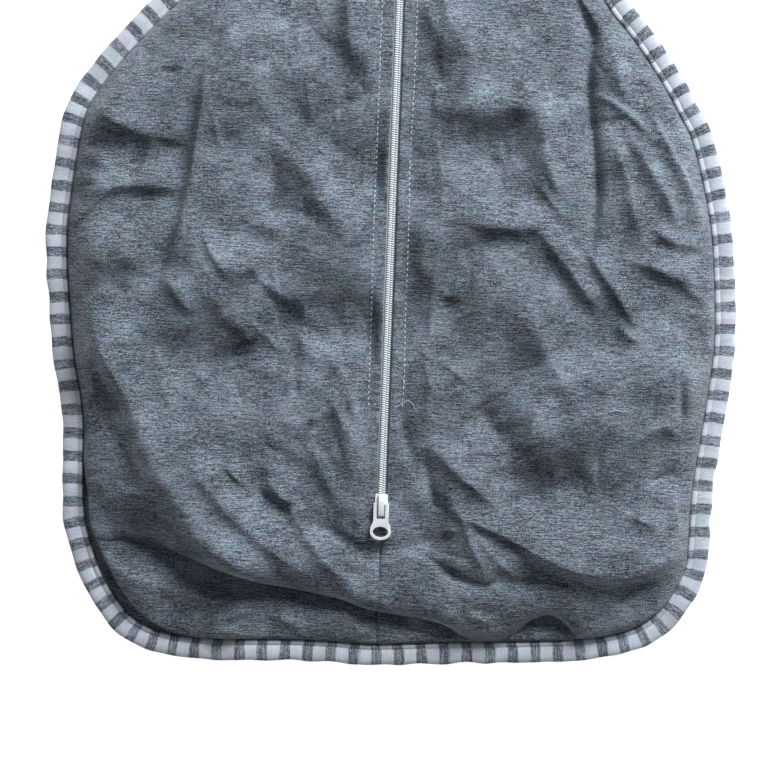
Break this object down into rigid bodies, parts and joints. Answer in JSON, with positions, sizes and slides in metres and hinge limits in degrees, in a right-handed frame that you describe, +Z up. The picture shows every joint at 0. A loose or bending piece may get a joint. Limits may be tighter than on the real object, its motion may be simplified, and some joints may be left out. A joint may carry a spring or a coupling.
{
  "type": "baby sleeping bag",
  "caption": "Sleeveless jersey sleeping bag for a baby, pear-shaped, lying flat, with a full-length front zip and striped binding.",
  "frame": {"origin": "on the floor under the middle of the bag", "axes": "+Z up from the floor, +Y from the hem to the neck, +X to the right seen from above"},
  "size_m": [0.3701, 0.6192, 0.0259],
  "materials": {
    "grey_jersey": "heather grey cotton jersey",
    "striped_jersey": "jersey with off-white and heather grey stripes",
    "tape_cloth": "woven polyester tape",
    "coil_nylon": "white nylon coil",
    "white_enamel": "white gloss paint on zinc",
    "spring_steel": "plain spring steel",
    "thread": "pale sewing thread",
    "label_satin": "blank satin"
  },
  "bodies": {
    "bag": {"back_panel": "grey_jersey", "front_panel_left": "grey_jersey", "front_panel_right": "grey_jersey", "zip_guard": "grey_jersey", "edge_binding_left": "striped_jersey", "edge_binding_right": "striped_jersey", "armhole_binding_front_left": "striped_jersey", "armhole_binding_front_right": "striped_jersey", "armhole_binding_back_left": "striped_jersey", "armhole_binding_back_right": "striped_jersey", "neck_binding_front_left": "striped_jersey", "neck_binding_front_right": "striped_jersey", "neck_binding_back": "striped_jersey", "zip_tape_left": "tape_cloth", "zip_tape_right": "tape_cloth", "zip_coil_left": "coil_nylon", "zip_coil_right": "coil_nylon", "zip_top_stop_left": "white_enamel", "zip_top_stop_right": "white_enamel", "zip_bottom_stop": "white_enamel", "zip_topstitch_left": "thread", "zip_topstitch_right": "thread", "care_label": "label_satin"},
    "bottom_slider": {"bottom_slider_body": "white_enamel", "bottom_slider_cap": "white_enamel", "bottom_slider_lock_spring": "spring_steel"},
    "bottom_pull": {"bottom_slider_pull": "white_enamel"},
    "top_slider": {"top_slider_body": "white_enamel", "top_slider_cap": "white_enamel", "top_slider_lock_spring": "spring_steel"},
    "top_pull": {"top_slider_pull": "white_enamel"}
  },
  "joints": [
    {"name": "bottom_slider_travel", "type": "slide", "parent": "bag", "child": "bottom_slider", "axis": [0, 1, 0], "range_m": [0, 0.16]},
    {"name": "bottom_pull_swing", "type": "hinge", "parent": "bottom_slider", "child": "bottom_pull", "pos_m": [0, -0.2222, 0.0242], "axis": [-1, 0, 0], "range_deg": [0, 165]},
    {"name": "top_slider_travel", "type": "slide", "parent": "bag", "child": "top_slider", "axis": [0, -1, 0], "range_m": [0, 0.25]},
    {"name": "top_pull_swing", "type": "hinge", "parent": "top_slider", "child": "top_pull", "pos_m": [0, 0.2368, 0.0242], "axis": [-1, 0, 0], "range_deg": [0, 165]}
  ]
}
